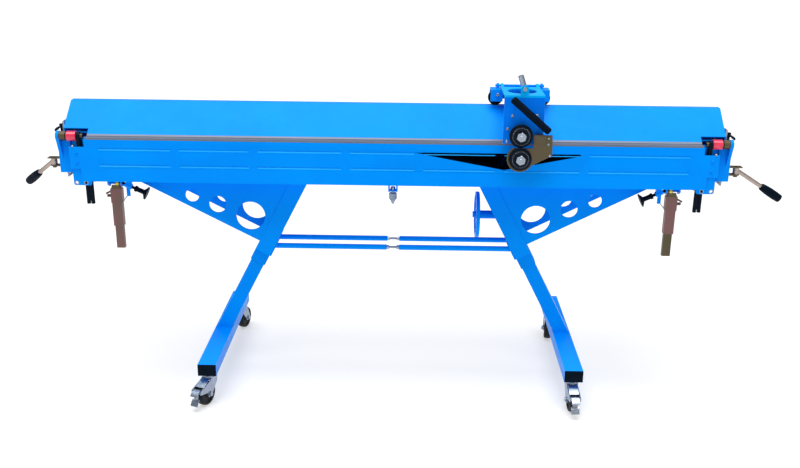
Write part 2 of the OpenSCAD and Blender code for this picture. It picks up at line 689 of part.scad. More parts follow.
module trolley_roller(s) color(BLACK) translate([slitter_x, 0, 0]) difference() {
    rod_y(roller_r, roller_y - roller_w / 2, roller_y + roller_w / 2, s * roller_x, roller_z);
    rod_y(5 + run_gap, -100, 100, s * roller_x, roller_z);
}
module trolley_roller_left() trolley_roller(-1);
module trolley_roller_right() trolley_roller(1);

module slitter_plate() color(BLUE) translate([slitter_x, 0, 0]) difference() {
    union() {
        box([-plate_half, plate_y, plate_top - 4], [plate_half, -31, plate_top]);
        box([-plate_half, plate_y, plate_bottom], [plate_half, plate_y + 4, plate_top]);
        for (s = sides) along_x(min(s * 52, s * 62), max(s * 52, s * 62)) union() {
            translate([tilt_y, tilt_z]) circle(7);
            polygon([[-44, plate_top - 4], [-44, plate_top], [tilt_y, tilt_z + 7], [tilt_y, tilt_z - 6.8], [-24, plate_top - 4]]);
        }
        along_y(plate_y, plate_y + 4) union() {
            translate([-1, lock_z]) circle(12.5);
            translate([-13.5, plate_top - 1]) square([25, lock_z - plate_top + 1]);
        }
        rod_y(16, plate_y + 3, plate_y + 14, cut_x - slitter_x, upper_cut_z);
    }
    translate([-1, -106, plate_top - 10]) cylinder(r = 46, h = 20);
    rod_x(4 + run_gap, -80, 80, tilt_y, tilt_z);
    rod_y(4 + run_gap, plate_y - 10, plate_y + 10, -1, lock_z);
    rod_y(axle_r + run_gap, plate_y - 1, plate_y + 20, cut_x - slitter_x, upper_cut_z);
}

// Arm in the plane of the cut that carries the lower knife.
module slitter_arm() color(YELLOW_ZINC) difference() {
    union() {
        along_y(nip_y, nip_y + 6) difference() {
            union() {
                translate([cut_x, lower_cut_z]) circle(38);
                polygon([[cut_x + 20, nip_z - 2], [cut_x + 40, nip_z - 2], [cut_x + 40, 899], [cut_x + 97, 899], [cut_x + 99, 834],
                    [cut_x + 12, lower_cut_z - 34]]);
            }
            translate([cut_x - 60, nip_z - 2]) square([80 + eps, 20]);
            translate([cut_x, upper_cut_z]) circle(knife_r + 1.5);
        }
        box([cut_x + 47, nip_y + 5, 868], [slitter_x + plate_half, plate_y - 0.1, 897]);
        rod_y(14, nip_y + 5, nip_y + 18, cut_x, lower_cut_z);
        for (z = [871, 890]) rod_y(4, nip_y - 2.5, nip_y + eps, cut_x + 85, z);
    }
    rod_y(axle_r + run_gap, nip_y - 1, nip_y + 30, cut_x, lower_cut_z);
}

module slitter_handle() color(BLACK) {
    low = [486, -216, 911];
    high = [366, -216, 1011];
    reach = high - low;
    translate(low) rotate([0, atan2(reach[0], reach[2]), 0]) cylinder(r = 11.5, h = norm(reach));
    for (p = [[376, 1002.7], [458, 934.3]]) rod_y(5, -212, plate_y - 0.1, p[0], p[1]);
}

module slitter_screws() color(ZINC) for (p = [[371, 953], [447, 954], [358, 912], [357, 872]])
    rod_y(5, plate_y - 4, plate_y - 0.05, p[0], p[1]);

module slitter_lock_lever() color(ZINC) translate([slitter_x - 1, 0, lock_z]) {
    rod_y(4, plate_y - 4, plate_y + 8);
    rod_y(7, plate_y - 4, plate_y - 0.3);
    rod_y(10, plate_y + 4.3, plate_y + 26);
    rotate([0, -19, 0]) translate([0, plate_y + 15.2, 0]) cylinder(r = 9, h = 42);
}

module knife(z, r, back, front, tail) {
    rod_y(r, front, back, cut_x, z);
    rod_y(r - 6, front - 7, front + eps, cut_x, z);
    rod_y(20, front - 9, front - 7 + eps, cut_x, z);
    hex_y(27, front - 18, front - 9 + eps, cut_x, z);
    rod_y(axle_r, front - 1, tail, cut_x, z);
}
module upper_cutter() color(BLACK) {
    knife(upper_cut_z, knife_r, nip_y + 8, nip_y + 0.2, plate_y + 13);
    rod_y(12, nip_y + 7, plate_y - 0.4, cut_x, upper_cut_z);
}
module lower_cutter() color(BLACK) knife(lower_cut_z, lower_knife_r, nip_y - 0.3, nip_y - 8, nip_y + 17);

// ---- gauge arms ----------------------------------------------------------------------------

// The plunger points outwards and up to the arm's eye; its knob hangs inwards and down.
module plunger_axis() translate([plunger_at[0], plunger_y, plunger_at[1]]) rotate([0, -90 - plunger_slope, 0]) children();

module gauge_bracket() {
    difference() {
        union() {
            box([846, -112, low_bottom - 4], [gauge_x + 24, -70, low_bottom]);
            for (x = [gauge_x - 23.5, gauge_x + 19.5]) along_x(x, x + 4) {
                translate([gauge_y, gauge_z]) circle(11);
                polygon([[plunger_y - 10, gauge_z - 2], [gauge_y, gauge_z - 11], [gauge_y + 11, gauge_z], [gauge_y + 11, low_bottom - 3],
                    [plunger_y - 10, low_bottom - 3]]);
            }
            // Sleeve for the plunger, hung from the base plate, and a long strap in front of it.
            plunger_axis() translate([0, 0, -34]) cylinder(r = 9, h = 33 - plunger_travel);
            box([857, plunger_y - 7, 686], [868, plunger_y + 7, low_bottom - 3]);
            box([862, -112, 654], [874, -109, low_bottom]);
        }
        plunger_axis() translate([0, 0, -60]) cylinder(r = plunger_r + run_gap, h = 100);
        rod_x(4, gauge_x - 40, gauge_x + 40, gauge_y, gauge_z);
    }
    rod_x(4, gauge_x - 26, gauge_x + 26, gauge_y, gauge_z);
}

// Brackets welded under the lower beam for the support arms and the crown screw.
module beam_brackets() color(BLUE) {
    both() gauge_bracket();
    crown_bracket();
}

module gauge_arm() difference() {
    union() {
        translate([gauge_x, gauge_y, 0]) {
            translate([0, 0, channel_end]) linear_extrude(channel_top - channel_end)
                polygon(strip([[channel_w / 2, channel_d / 2], [-channel_w / 2, channel_d / 2], [-channel_w / 2, -channel_d / 2],
                    [channel_w / 2, -channel_d / 2], [channel_w / 2, channel_d / 2 - 4]], channel_t));
            // Eye of the arm.
            along_x(-17, 1) union() {
                translate([0, gauge_z]) circle(10.5);
                translate([-8, channel_top - 2]) square([16, gauge_z - channel_top + 2]);
            }
            translate([-channel_w / 2 + 1, -8, channel_top - 14]) cube([channel_w - 3, 16, 14]);
            // Broader cheeks round the head of the channel.
            for (x = [-19, channel_w / 2]) translate([x, -channel_d / 2, head_bottom]) cube([19 - channel_w / 2, channel_d, channel_top - head_bottom]);
        }
        // Wing screw on the outer side.
        translate([gauge_x + channel_w / 2 - 1, gauge_y, 668]) rotate([0, 118, 0]) cylinder(r = 3, h = 24);
        translate([gauge_x + channel_w / 2 + 12, gauge_y, 650]) rod_x(5, -14, 4);
    }
    rod_x(4 + run_gap, gauge_x - 30, gauge_x + 30, gauge_y, gauge_z);
    // Notch in the eye's rim that takes the plunger's nose.
    plunger_axis() translate([0, 0, -66]) cylinder(r = plunger_r + 0.4, h = 60);
}

module gauge_slide() translate([gauge_x, gauge_y, slide_end]) linear_extrude(178) difference() {
    square([channel_w - 2 * channel_t - 0.6, channel_d - 2 * channel_t - 0.6], center = true);
    square([channel_w - 2 * channel_t - 4.6, channel_d - 2 * channel_t - 4.6], center = true);
}

// Spring plunger with a spool-shaped knob.
module gauge_knob() plunger_axis() {
    translate([0, 0, -46]) cylinder(r = plunger_r, h = 52);
    translate([0, 0, 0.6]) cylinder(r = 10, h = 8);
    translate([0, 0, 8]) cylinder(r = 8, h = 24);
    translate([0, 0, 31]) cylinder(r1 = 8, r2 = 20, h = 8);
    translate([0, 0, 38.9]) cylinder(r = 22, h = 5);
}

module gauge_arm_left() color(YELLOW_ZINC) mirror([1, 0, 0]) gauge_arm();
module gauge_arm_right() color(YELLOW_ZINC) gauge_arm();
module gauge_slide_left() color(YELLOW_ZINC) mirror([1, 0, 0]) gauge_slide();
module gauge_slide_right() color(YELLOW_ZINC) gauge_slide();
module gauge_knob_left() color(BLACK) mirror([1, 0, 0]) gauge_knob();
module gauge_knob_right() color(BLACK) gauge_knob();

// ---- assembly ------------------------------------------------------------------------------

foot_beams();
foot_end_caps();
stand_columns();
column_sockets();
gusset_plates();
tie_straps();
tie_tubes();
tie_turnbuckles();
lower_beam();
table_blade();
end_cheeks();
hinge_pins();
hinge_bushes();
beam_brackets();
handwheel_arm();
caster_stems();
crown_screw();
handwheel();
upper_beam();
upper_blade();
lift_straps();
lift_brackets();
clamp_hub_left();
clamp_hub_right();
lever_arm_left();
lever_arm_right();
lever_grip_left();
lever_grip_right();
apron_beam();
apron_tabs();
apron_blade();
apron_ears();
apron_bolts();
apron_handles();
slitter_trolley();
trolley_roller_left();
trolley_roller_right();
slitter_plate();
slitter_arm();
slitter_handle();
slitter_screws();
slitter_lock_lever();
upper_cutter();
lower_cutter();
gauge_arm_left();
gauge_arm_right();
gauge_slide_left();
gauge_slide_right();
gauge_knob_left();
gauge_knob_right();
caster_fork_front_left();
caster_fork_front_right();
caster_fork_rear_left();
caster_fork_rear_right();
caster_wheel_front_left();
caster_wheel_front_right();
caster_wheel_rear_left();
caster_wheel_rear_right();
brake_pedal_left();
brake_pedal_right();
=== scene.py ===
import json
import math
import random

import bmesh
import bpy
from mathutils import Matrix, Vector

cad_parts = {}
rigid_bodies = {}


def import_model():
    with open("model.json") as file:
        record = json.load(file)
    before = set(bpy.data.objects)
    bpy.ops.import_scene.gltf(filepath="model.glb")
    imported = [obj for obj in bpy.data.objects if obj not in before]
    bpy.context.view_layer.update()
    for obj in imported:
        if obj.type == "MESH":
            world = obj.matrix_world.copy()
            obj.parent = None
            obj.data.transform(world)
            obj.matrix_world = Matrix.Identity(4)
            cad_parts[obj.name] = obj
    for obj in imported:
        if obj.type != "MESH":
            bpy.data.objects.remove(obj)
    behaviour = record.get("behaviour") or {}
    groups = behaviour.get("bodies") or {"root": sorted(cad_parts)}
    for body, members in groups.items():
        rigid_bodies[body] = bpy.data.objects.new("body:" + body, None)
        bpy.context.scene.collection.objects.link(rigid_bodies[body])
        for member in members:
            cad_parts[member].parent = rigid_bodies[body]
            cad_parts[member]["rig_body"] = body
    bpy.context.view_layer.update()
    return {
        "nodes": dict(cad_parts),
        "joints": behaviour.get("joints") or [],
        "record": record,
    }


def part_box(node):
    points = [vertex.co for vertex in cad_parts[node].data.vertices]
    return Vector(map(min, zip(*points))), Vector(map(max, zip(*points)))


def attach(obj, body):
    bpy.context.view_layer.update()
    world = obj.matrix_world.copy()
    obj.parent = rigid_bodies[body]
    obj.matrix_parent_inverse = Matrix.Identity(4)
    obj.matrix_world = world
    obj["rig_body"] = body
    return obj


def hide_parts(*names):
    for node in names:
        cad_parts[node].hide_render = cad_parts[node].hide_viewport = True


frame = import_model()
random.seed(7)
joints = {j["name"]: j for j in frame["joints"]}
mounts = {m["name"]: m for m in frame["record"]["mounts"]}
slot_of = {s["node"]: s["material_slot"] for s in frame["record"]["subparts"]}

MM = 0.001
ENDS = ("left", "right")
CORNERS = ("front_left", "front_right", "rear_left", "rear_right")
# The stand's legs lean outwards from the vertical by this much.
LEG_LEAN = math.radians(27.3)
FOOT_WIDTH = 0.060
# The bend at the top of the slitter's plate, above the top of the lower knife's arm.
PLATE_BEND_ABOVE_ARM = 0.112


def pivot(name):
    return Vector(joints[name]["pos_m"])


def axis_of(name):
    return Vector(joints[name]["axis"]).normalized()


# ---- materials ---------------------------------------------------------------------------

# Socket numbers of the Mix node when it mixes colours.
MIX_SHARE, MIX_A, MIX_B, MIX_RESULT = 0, 6, 7, 2


class Look:
    """A node material with its Principled shader and short helpers for wiring."""

    def __init__(self, name, **sockets):
        self.mat = bpy.data.materials.new(name)
        self.mat.use_nodes = True
        self.nodes = self.mat.node_tree.nodes
        self.links = self.mat.node_tree.links
        self.shader = self.nodes["Principled BSDF"]
        self.place = self.nodes.new("ShaderNodeTexCoord").outputs["Object"]
        self.bump_chain = None
        for key, value in sockets.items():
            self.shader.inputs[key.replace("_", " ")].default_value = value

    def put(self, kind, **values):
        node = self.nodes.new(kind)
        for key, value in values.items():
            setattr(node, key, value)
        return node

    def noise(self, scale, detail=3.0, rough=0.55, stretch=(1, 1, 1), distortion=0.0):
        mapping = self.put("ShaderNodeMapping")
        mapping.inputs["Scale"].default_value = stretch
        self.links.new(self.place, mapping.inputs["Vector"])
        node = self.put("ShaderNodeTexNoise")
        node.inputs["Scale"].default_value = scale
        node.inputs["Detail"].default_value = detail
        node.inputs["Roughness"].default_value = rough
        node.inputs["Distortion"].default_value = distortion
        self.links.new(mapping.outputs["Vector"], node.inputs["Vector"])
        return node.outputs["Fac"]

    def cells(self, scale):
        node = self.put("ShaderNodeTexVoronoi")
        node.inputs["Scale"].default_value = scale
        self.links.new(self.place, node.inputs["Vector"])
        return node.outputs["Distance"]

    def height(self):
        node = self.put("ShaderNodeSeparateXYZ")
        self.links.new(self.place, node.inputs["Vector"])
        return node.outputs["Z"]

    def ramp(self, value, stops):
        node = self.put("ShaderNodeValToRGB")
        band = node.color_ramp.elements
        while len(band) < len(stops):
            band.new(0.5)
        for element, (at, colour) in zip(band, stops):
            element.position = at
            element.color = (*colour, 1.0)
        self.links.new(value, node.inputs["Fac"])
        return node.outputs["Color"]

    def mix(self, share, base, over):
        """The colour socket base, with the plain colour over laid on it by share."""
        node = self.put("ShaderNodeMix", data_type="RGBA")
        self.links.new(share, node.inputs[MIX_SHARE])
        self.links.new(base, node.inputs[MIX_A])
        node.inputs[MIX_B].default_value = (*over, 1.0)
        return node.outputs[MIX_RESULT]

    def range(self, value, low, high, from_low=0.0, from_high=1.0):
        node = self.put("ShaderNodeMapRange")
        node.inputs["From Min"].default_value = from_low
        node.inputs["From Max"].default_value = from_high
        node.inputs["To Min"].default_value = low
        node.inputs["To Max"].default_value = high
        self.links.new(value, node.inputs["Value"])
        return node.outputs["Result"]

    def colour(self, socket):
        self.links.new(socket, self.shader.inputs["Base Color"])

    def rough(self, value, low, high):
        self.links.new(self.range(value, low, high, 0.3, 0.7), self.shader.inputs["Roughness"])

    def bump(self, height, strength, distance):
        node = self.put("ShaderNodeBump")
        node.inputs["Strength"].default_value = strength
        node.inputs["Distance"].default_value = distance
        self.links.new(height, node.inputs["Height"])
        if self.bump_chain is not None:
            self.links.new(self.bump_chain, node.inputs["Normal"])
        self.bump_chain = node.outputs["Normal"]
        self.links.new(self.bump_chain, self.shader.inputs["Normal"])

    def edges(self, radius=0.0016):
        """0 on the flats, rising towards 1 along convex and concave edges."""
        bevel = self.put("ShaderNodeBevel", samples=4)
        bevel.inputs["Radius"].default_value = radius
        geometry = self.put("ShaderNodeNewGeometry")
        dot = self.put("ShaderNodeVectorMath", operation="DOT_PRODUCT")
        self.links.new(bevel.outputs["Normal"], dot.inputs[0])
        self.links.new(geometry.outputs["Normal"], dot.inputs[1])
        return self.range(dot.outputs["Value"], 1.0, 0.0, 0.80, 0.985)


def blue_paint(name, dark, light, edge_wear_and_highlight_share, edge_wear_and_highlight_colour, painted_top_light_above=None):
    """Sprayed paint with a fine orange peel, lighter along its edges: partly worn paint, partly a painted
    highlight. Faces above the given height are mixed to a lighter blue, a painted top light.
    """
    look = Look(name, IOR=1.22, Coat_Weight=0.02, Coat_Roughness=0.22)
    look.shader.inputs["Specular Tint"].default_value = (0.05, 0.55, 1.0, 1.0)
    tone = look.ramp(look.noise(5.0, 4.0, 0.6), [(0.30, dark), (0.72, light)])
    specks = look.ramp(look.noise(900.0, 2.0), [(0.70, (0, 0, 0)), (0.80, (1, 1, 1))])
    fleck = look.mix(look.range(specks, 0.0, 0.10), tone, (0.0, 0.40, 1.0))
    # Lighter along edges: partly worn paint, partly a painted highlight.
    paint = look.mix(look.range(look.edges(), 0.0, edge_wear_and_highlight_share), fleck, edge_wear_and_highlight_colour)
    if painted_top_light_above is not None:
        # Painted top light: faces above this height turn a lighter blue, as if lit from above.
        painted_top_light_share = look.range(look.height(), 0.0, 1.0, painted_top_light_above - 0.0015, painted_top_light_above)
        paint = look.mix(painted_top_light_share, paint, (0.0, 0.40, 0.92))
    look.colour(paint)
    look.rough(look.noise(38.0, 5.0, 0.65), 0.30, 0.43)
    look.bump(look.noise(640.0, 2.0, 0.5), 0.10, 0.0004)
    look.bump(look.noise(16.0, 2.0, 0.4), 0.06, 0.004)
    return look.mat


def brushed_steel():
    """Ground steel, brushed along X, with darker stains."""
    look = Look("blade_steel", Metallic=0.55, Anisotropic=0.4, IOR=1.3)
    streak = look.noise(420.0, 4.0, 0.7, (0.012, 1.0, 1.0))
    blotch = look.noise(9.0, 4.0, 0.6)
    base = look.ramp(streak, [(0.28, (0.11, 0.13, 0.18)), (0.72, (0.25, 0.28, 0.34))])
    look.colour(look.mix(look.range(blotch, 0.0, 0.35, 0.45, 0.8), base, (0.18, 0.16, 0.20)))
    look.rough(streak, 0.48, 0.66)
    look.bump(streak, 0.18, 0.0003)
    return look.mat


def bright_zinc():
    look = Look("bright_zinc", Metallic=1.0)
    grain = look.noise(170.0, 5.0, 0.65)
    cloud = look.noise(28.0, 3.0, 0.5)
    stops = [(0.25, (0.16, 0.24, 0.32)), (0.5, (0.34, 0.40, 0.48)), (0.78, (0.30, 0.31, 0.37))]
    tint = look.ramp(cloud, stops)
    look.colour(look.mix(look.range(look.edges(0.0008), 0.0, 0.5), tint, (0.72, 0.75, 0.80)))
    look.rough(grain, 0.26, 0.44)
    look.bump(grain, 0.12, 0.0003)
    return look.mat


def yellow_zinc(name, hues, fine):
    """Passivated zinc: four hues that run into each other, with fine as the colour of its grain."""
    look = Look(name, Metallic=0.85)
    sweep = look.noise(17.0, 3.0, 0.55, (1.0, 1.0, 0.35), 0.6)
    tone = look.ramp(sweep, list(zip((0.26, 0.42, 0.56, 0.74), hues)))
    grain = look.noise(230.0, 4.0, 0.6)
    rubbed = look.mix(look.range(grain, 0.0, 0.35, 0.35, 0.75), tone, fine)
    look.colour(look.mix(look.range(look.edges(0.0009), 0.0, 0.45), rubbed, (0.50, 0.42, 0.28)))
    look.rough(grain, 0.34, 0.52)
    look.bump(grain, 0.15, 0.0003)
    return look.mat


def black_steel():
    look = Look("black_steel", IOR=1.22)
    look.shader.inputs["Specular Tint"].default_value = (0.25, 0.55, 1.0, 1.0)
    grain = look.noise(260.0, 4.0, 0.6)
    shade = look.ramp(grain, [(0.3, (0.002, 0.003, 0.006)), (0.75, (0.007, 0.009, 0.015))])
    look.colour(look.mix(look.range(look.edges(0.0010), 0.0, 0.45), shade, (0.09, 0.09, 0.10)))
    look.rough(grain, 0.30, 0.48)
    look.bump(grain, 0.2, 0.0003)
    return look.mat


def black_plastic():
    look = Look("black_plastic", IOR=1.18)
    look.shader.inputs["Specular Tint"].default_value = (0.20, 0.55, 1.0, 1.0)
    grain = look.cells(1100.0)
    cloud = look.noise(60.0, 3.0)
    look.colour(look.ramp(cloud, [(0.3, (0.001, 0.003, 0.007)), (0.75, (0.004, 0.008, 0.015))]))
    look.rough(cloud, 0.42, 0.6)
    look.bump(grain, 0.25, 0.0002)
    return look.mat


def wheel_rubber():
    look = Look("wheel_rubber", IOR=1.30)
    grain = look.noise(420.0, 4.0, 0.7)
    dust = look.noise(45.0, 4.0, 0.6)
    dark = look.ramp(grain, [(0.3, (0.005, 0.006, 0.008)), (0.7, (0.014, 0.015, 0.018))])
    look.colour(look.mix(look.range(dust, 0.0, 0.35, 0.5, 0.8), dark, (0.045, 0.045, 0.047)))
    look.rough(grain, 0.48, 0.7)
    look.bump(grain, 0.3, 0.0004)
    return look.mat


def red_plastic():
    look = Look("red_plastic", Coat_Weight=0.4, Coat_Roughness=0.08)
    cloud = look.noise(80.0, 3.0)
    look.colour(look.ramp(cloud, [(0.3, (0.62, 0.012, 0.055)), (0.7, (0.86, 0.030, 0.10))]))
    look.rough(cloud, 0.2, 0.34)
    look.bump(look.noise(300.0, 2.0), 0.08, 0.0003)
    return look.mat


def brass_bush():
    look = Look("yellow_bush", Metallic=0.55)
    cloud = look.noise(90.0, 3.0)
    look.colour(look.ramp(cloud, [(0.3, (0.55, 0.42, 0.04)), (0.7, (0.86, 0.72, 0.10))]))
    look.rough(cloud, 0.3, 0.45)
    look.bump(cloud, 0.1, 0.0003)
    return look.mat


LOOKS = {
    "blue_paint": blue_paint(
        "blue_paint", (0.0, 0.250, 0.92), (0.0, 0.290, 0.98), 0.40, (0.02, 0.52, 1.0)
    ),
    # The slitter plate's strong, pale edge mix is mostly a painted highlight along its edges.
    "deep_blue": blue_paint(
        "deep_blue", (0.0, 0.150, 0.82), (0.0, 0.185, 0.88), 0.75, (0.22, 0.62, 0.98),
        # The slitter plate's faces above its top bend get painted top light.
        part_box("slitter_arm")[1].z + PLATE_BEND_ABOVE_ARM,
    ),
    # A lighter copy of the blue paint: a painted highlight for the groove lips.
    "painted_highlight_blue": blue_paint(
        "painted_highlight_blue", (0.0, 0.34, 0.97), (0.01, 0.39, 1.0), 0.40, (0.04, 0.52, 1.0)
    ),
    "blade_steel": brushed_steel(),
    "bright_zinc": bright_zinc(),
    "yellow_zinc": yellow_zinc(
        "yellow_zinc",
        [(0.11, 0.10, 0.06), (0.17, 0.105, 0.085), (0.20, 0.095, 0.10), (0.12, 0.10, 0.08)],
        (0.22, 0.16, 0.13),
    ),
    "olive_zinc": yellow_zinc(
        "olive_zinc",
        [(0.060, 0.060, 0.030), (0.095, 0.085, 0.045), (0.110, 0.080, 0.050), (0.075, 0.070, 0.040)],
        (0.15, 0.13, 0.08),
    ),
    "warm_zinc": yellow_zinc(
        "warm_zinc",
        [(0.30, 0.26, 0.22), (0.42, 0.34, 0.30), (0.48, 0.38, 0.35), (0.34, 0.30, 0.25)],
        (0.52, 0.45, 0.42),
    ),
    "black_steel": black_steel(),
    "black_plastic": black_plastic(),
    "wheel_rubber": wheel_rubber(),
    "red_plastic": red_plastic(),
    "yellow_bush": brass_bush(),
}

# ---- building helpers ----------------------------------------------------------------------


def publish(name, bm, body, look, replaces=(), bevel=0.0, sharp=28.0):
    """Turns a bmesh, drawn in the frame's metres, into a piece that rides on a body."""
    bmesh.ops.recalc_face_normals(bm, faces=bm.faces)
    limit = math.radians(sharp)
    for face in bm.faces:
        face.smooth = True
    for edge in bm.edges:
        edge.smooth = edge.calc_face_angle(0.0) < limit
    mesh = bpy.data.meshes.new(name)
    bm.to_mesh(mesh)
    bm.free()
    piece = bpy.data.objects.new(name, mesh)
    bpy.context.scene.collection.objects.link(piece)
    mesh.materials.append(LOOKS[look])
    if bevel > 0:
        soft = piece.modifiers.new("soft_edges", "BEVEL")
        soft.width = bevel
        soft.segments = 2
        soft.limit_method = "ANGLE"
        soft.angle_limit = limit
        soft.harden_normals = True
        soft.miter_outer = "MITER_ARC"
    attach(piece, body)
    if replaces:
        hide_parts(*replaces)


def basis(origin, axis, side=None):
    """A matrix that stands local Z along axis at origin."""
    z = Vector(axis).normalized()
    if side is None:
        side = (1, 0, 0) if abs(z.x) < 0.9 else (0, 1, 0)
    x = Vector(side)
    x = (x - z * x.dot(z)).normalized()
    y = z.cross(x)
    m = Matrix((x, y, z)).transposed().to_4x4()
    m.translation = Vector(origin)
    return m


def upright(x, y, z, way=1, facing=-1):
    """A matrix that stands local XY in the XZ plane. Local Z runs along facing, and way -1 mirrors X."""
    return Matrix(((way, 0, 0, x), (0, 0, facing, y), (0, 1, 0, z), (0, 0, 0, 1)))


def bridge(bm, low, high):
    """Faces between two loops of vertices. A loop may be a single point."""
    count = max(len(low), len(high))
    for i in range(count):
        k = (i + 1) % count
        corners = (low[i % len(low)], low[k % len(low)], high[k % len(high)], high[i % len(high)])
        face = list(dict.fromkeys(corners))
        if len(face) > 2:
            bm.faces.new(face)


def circle(bm, place, radius, height, steps, flute=None):
    """A loop of vertices round local Z."""
    loop = []
    for i in range(steps):
        a = 2 * math.pi * i / steps
        r = flute(a, height, radius) if flute else radius
        loop.append(bm.verts.new(place @ Vector((r * math.cos(a), r * math.sin(a), height))))
    return loop


def lathe(bm, profile, place, steps=48, flute=None):
    """Revolves (radius, height) points about local Z. flute(angle, height, radius) may change a radius."""
    loops = []
    for radius, height in profile:
        if radius <= 1e-7:
            loops.append([bm.verts.new(place @ Vector((0, 0, height)))])
        else:
            loops.append(circle(bm, place, radius, height, steps, flute))
    for low, high in zip(loops, loops[1:]):
        bridge(bm, low, high)
    if len(loops[0]) > 2:
        bm.faces.new(loops[0][::-1])
    if len(loops[-1]) > 2:
        bm.faces.new(loops[-1])


def ring(bm, section, place, steps):
    """Revolves a closed section of (radius, height) points about local Z."""
    loops = [circle(bm, place, radius, height, steps) for radius, height in section]
    for low, high in zip(loops, loops[1:] + loops[:1]):
        bridge(bm, low, high)


def rod(bm, place, radius, low, high, steps):
    lathe(bm, [(0, low), (radius, low), (radius, high), (0, high)], place, steps)


def wave(angle, count):
    """Runs between 0 and 1, count times round the circle."""
    return 0.5 + 0.5 * math.cos(count * angle)


def hexagon(bm, place, across, height):
    """A chamfered hexagonal nut or head standing on local Z = 0."""
    flat = across / 2
    corner = flat / math.cos(math.pi / 6)
    chamfer = (corner - flat) * 0.55

    def sides(a, h, r):
        off_middle = (a + math.pi / 6) % (math.pi / 3) - math.pi / 6
        return min(flat / math.cos(off_middle), r)

    profile = [(0, 0), (flat, 0), (corner, chamfer), (corner, height - chamfer), (flat, height), (0, height)]
    lathe(bm, profile, place, flute=sides)


def thread(bm, place, radius, length, pitch):
    """Rounded ridges that read as a screw thread."""
    count = int(length / pitch)
    root = radius * 0.86
    profile = [(0, 0), (root, 0)]
    for i in range(count):
        z = length * (i + 0.5) / count
        profile += [(radius, z), (radius * 0.90, z + length * 0.5 / count)]
    profile[-1] = (root, length)
    profile.append((0, length))
    lathe(bm, profile, place, 20)


def pan_head(bm, place, radius, height):
    """A domed screw head with a round recess."""
    profile = [
        (0, 0), (radius, 0), (radius, height * 0.35), (radius * 0.92, height * 0.62),
        (radius * 0.72, height * 0.88), (radius * 0.45, height),
        (radius * 0.45, height * 0.99), (radius * 0.40, height * 0.55), (0, height * 0.45),
    ]
    lathe(bm, profile, place)


def slab(bm, outline, place, thickness):
    """Extrudes a closed outline in local XY by thickness along local Z."""
    low = [bm.verts.new(place @ Vector((x, y, 0))) for x, y in outline]
    high = [bm.verts.new(place @ Vector((x, y, thickness))) for x, y in outline]
    bm.faces.new(low[::-1])
    bm.faces.new(high)
    bridge(bm, low, high)


def ribbon(bm, path, place, width, thickness):
    """A bent strip: path in local XZ, width along local Y."""
    last = len(path) - 1
    rows = []
    for i, (x, z) in enumerate(path):
        along = (Vector(path[min(i + 1, last)]) - Vector(path[max(i - 1, 0)])).normalized()
        normal = Vector((-along.y, along.x))
        row = []
        for side, lift in ((-0.5, 0), (0.5, 0), (0.5, thickness), (-0.5, thickness)):
            corner = Vector((x + normal.x * lift, side * width, z + normal.y * lift))
            row.append(bm.verts.new(place @ corner))
        rows.append(row)
    for a, b in zip(rows, rows[1:]):
        bridge(bm, a, b)
    bm.faces.new(rows[0][::-1])
    bm.faces.new(rows[-1])


def bead(bm, start, end, radius, step=0.0024):
    """A rippled weld bead from start to end."""
    start, end = Vector(start), Vector(end)
    length = (end - start).length
    count = max(3, int(length / step))
    profile = [(0, 0)]
    for i in range(count + 1):
        ripple = 1.0 if i % 2 else 0.82
        profile.append((radius * ripple * random.uniform(0.93, 1.07), length * i / count))
    profile.append((0, length))
    lathe(bm, profile, basis(start, end - start), 10)


def clusters(node, reach):
    """A node's vertices in groups, one for each bolt. reach is from a group's first vertex."""
    groups = []
    for v in frame["nodes"][node].data.vertices:
        for group in groups:
            if (v.co - group[0]).length < reach:
                group.append(v.co.copy())
                break
        else:
            groups.append([v.co.copy()])
    return groups


# ---- the nodes that keep their own shape ----------------------------------------------------

# How much each node's edges are rounded.
SOFT = {
    "foot_beams": 0.0035,
    "foot_end_caps": 0.0025,
    "stand_columns": 0.0030,
    "column_sockets": 0.0030,
    "gusset_plates": 0.0008,
    "tie_straps": 0.0008,
    "tie_tubes": 0.0004,
    "lower_beam": 0.0020,
    "table_blade": 0.0004,
    "end_cheeks": 0.0010,
    "hinge_pins": 0.0008,
    "hinge_bushes": 0.0016,
    "beam_brackets": 0.0006,
    "handwheel_arm": 0.0008,
    "caster_stems": 0.0010,
    "upper_beam": 0.0020,
    "upper_blade": 0.0005,
    "lift_straps": 0.0008,
    "lift_brackets": 0.0006,
    "clamp_hub_left": 0.0008,
    "clamp_hub_right": 0.0008,
    "lever_arm_left": 0.0010,
    "lever_arm_right": 0.0010,
    "apron_beam": 0.0012,
    "apron_tabs": 0.0006,
    "apron_blade": 0.0006,
    # The apron's ears keep their slot's dark finish, which also stands for the shade in the notch behind
    # them: partly painted shade.
    "apron_ears": 0.0008,
    "apron_handles": 0.0012,
    "slitter_trolley": 0.0010,
    "trolley_roller_left": 0.0015,
    "trolley_roller_right": 0.0015,
    "slitter_plate": 0.0008,
    "slitter_arm": 0.0007,
    "slitter_lock_lever": 0.0015,
    "gauge_arm_left": 0.0006,
    "gauge_arm_right": 0.0006,
    "gauge_slide_left": 0.0006,
    "gauge_slide_right": 0.0006,
    "gauge_knob_left": 0.0010,
    "gauge_knob_right": 0.0010,
    "handwheel": 0.0012,
}
for end in CORNERS:
    SOFT["caster_fork_" + end] = 0.0008
# The nodes whose look isn't their slot's own.
FINISH = {
    "slitter_plate": "deep_blue",
    "gauge_slide_right": "olive_zinc",
    "slitter_arm": "olive_zinc",
    "clamp_hub_left": "olive_zinc",
    "clamp_hub_right": "olive_zinc",
    "hinge_pins": "olive_zinc",
    "lever_arm_left": "warm_zinc",
    "lever_arm_right": "warm_zinc",
}


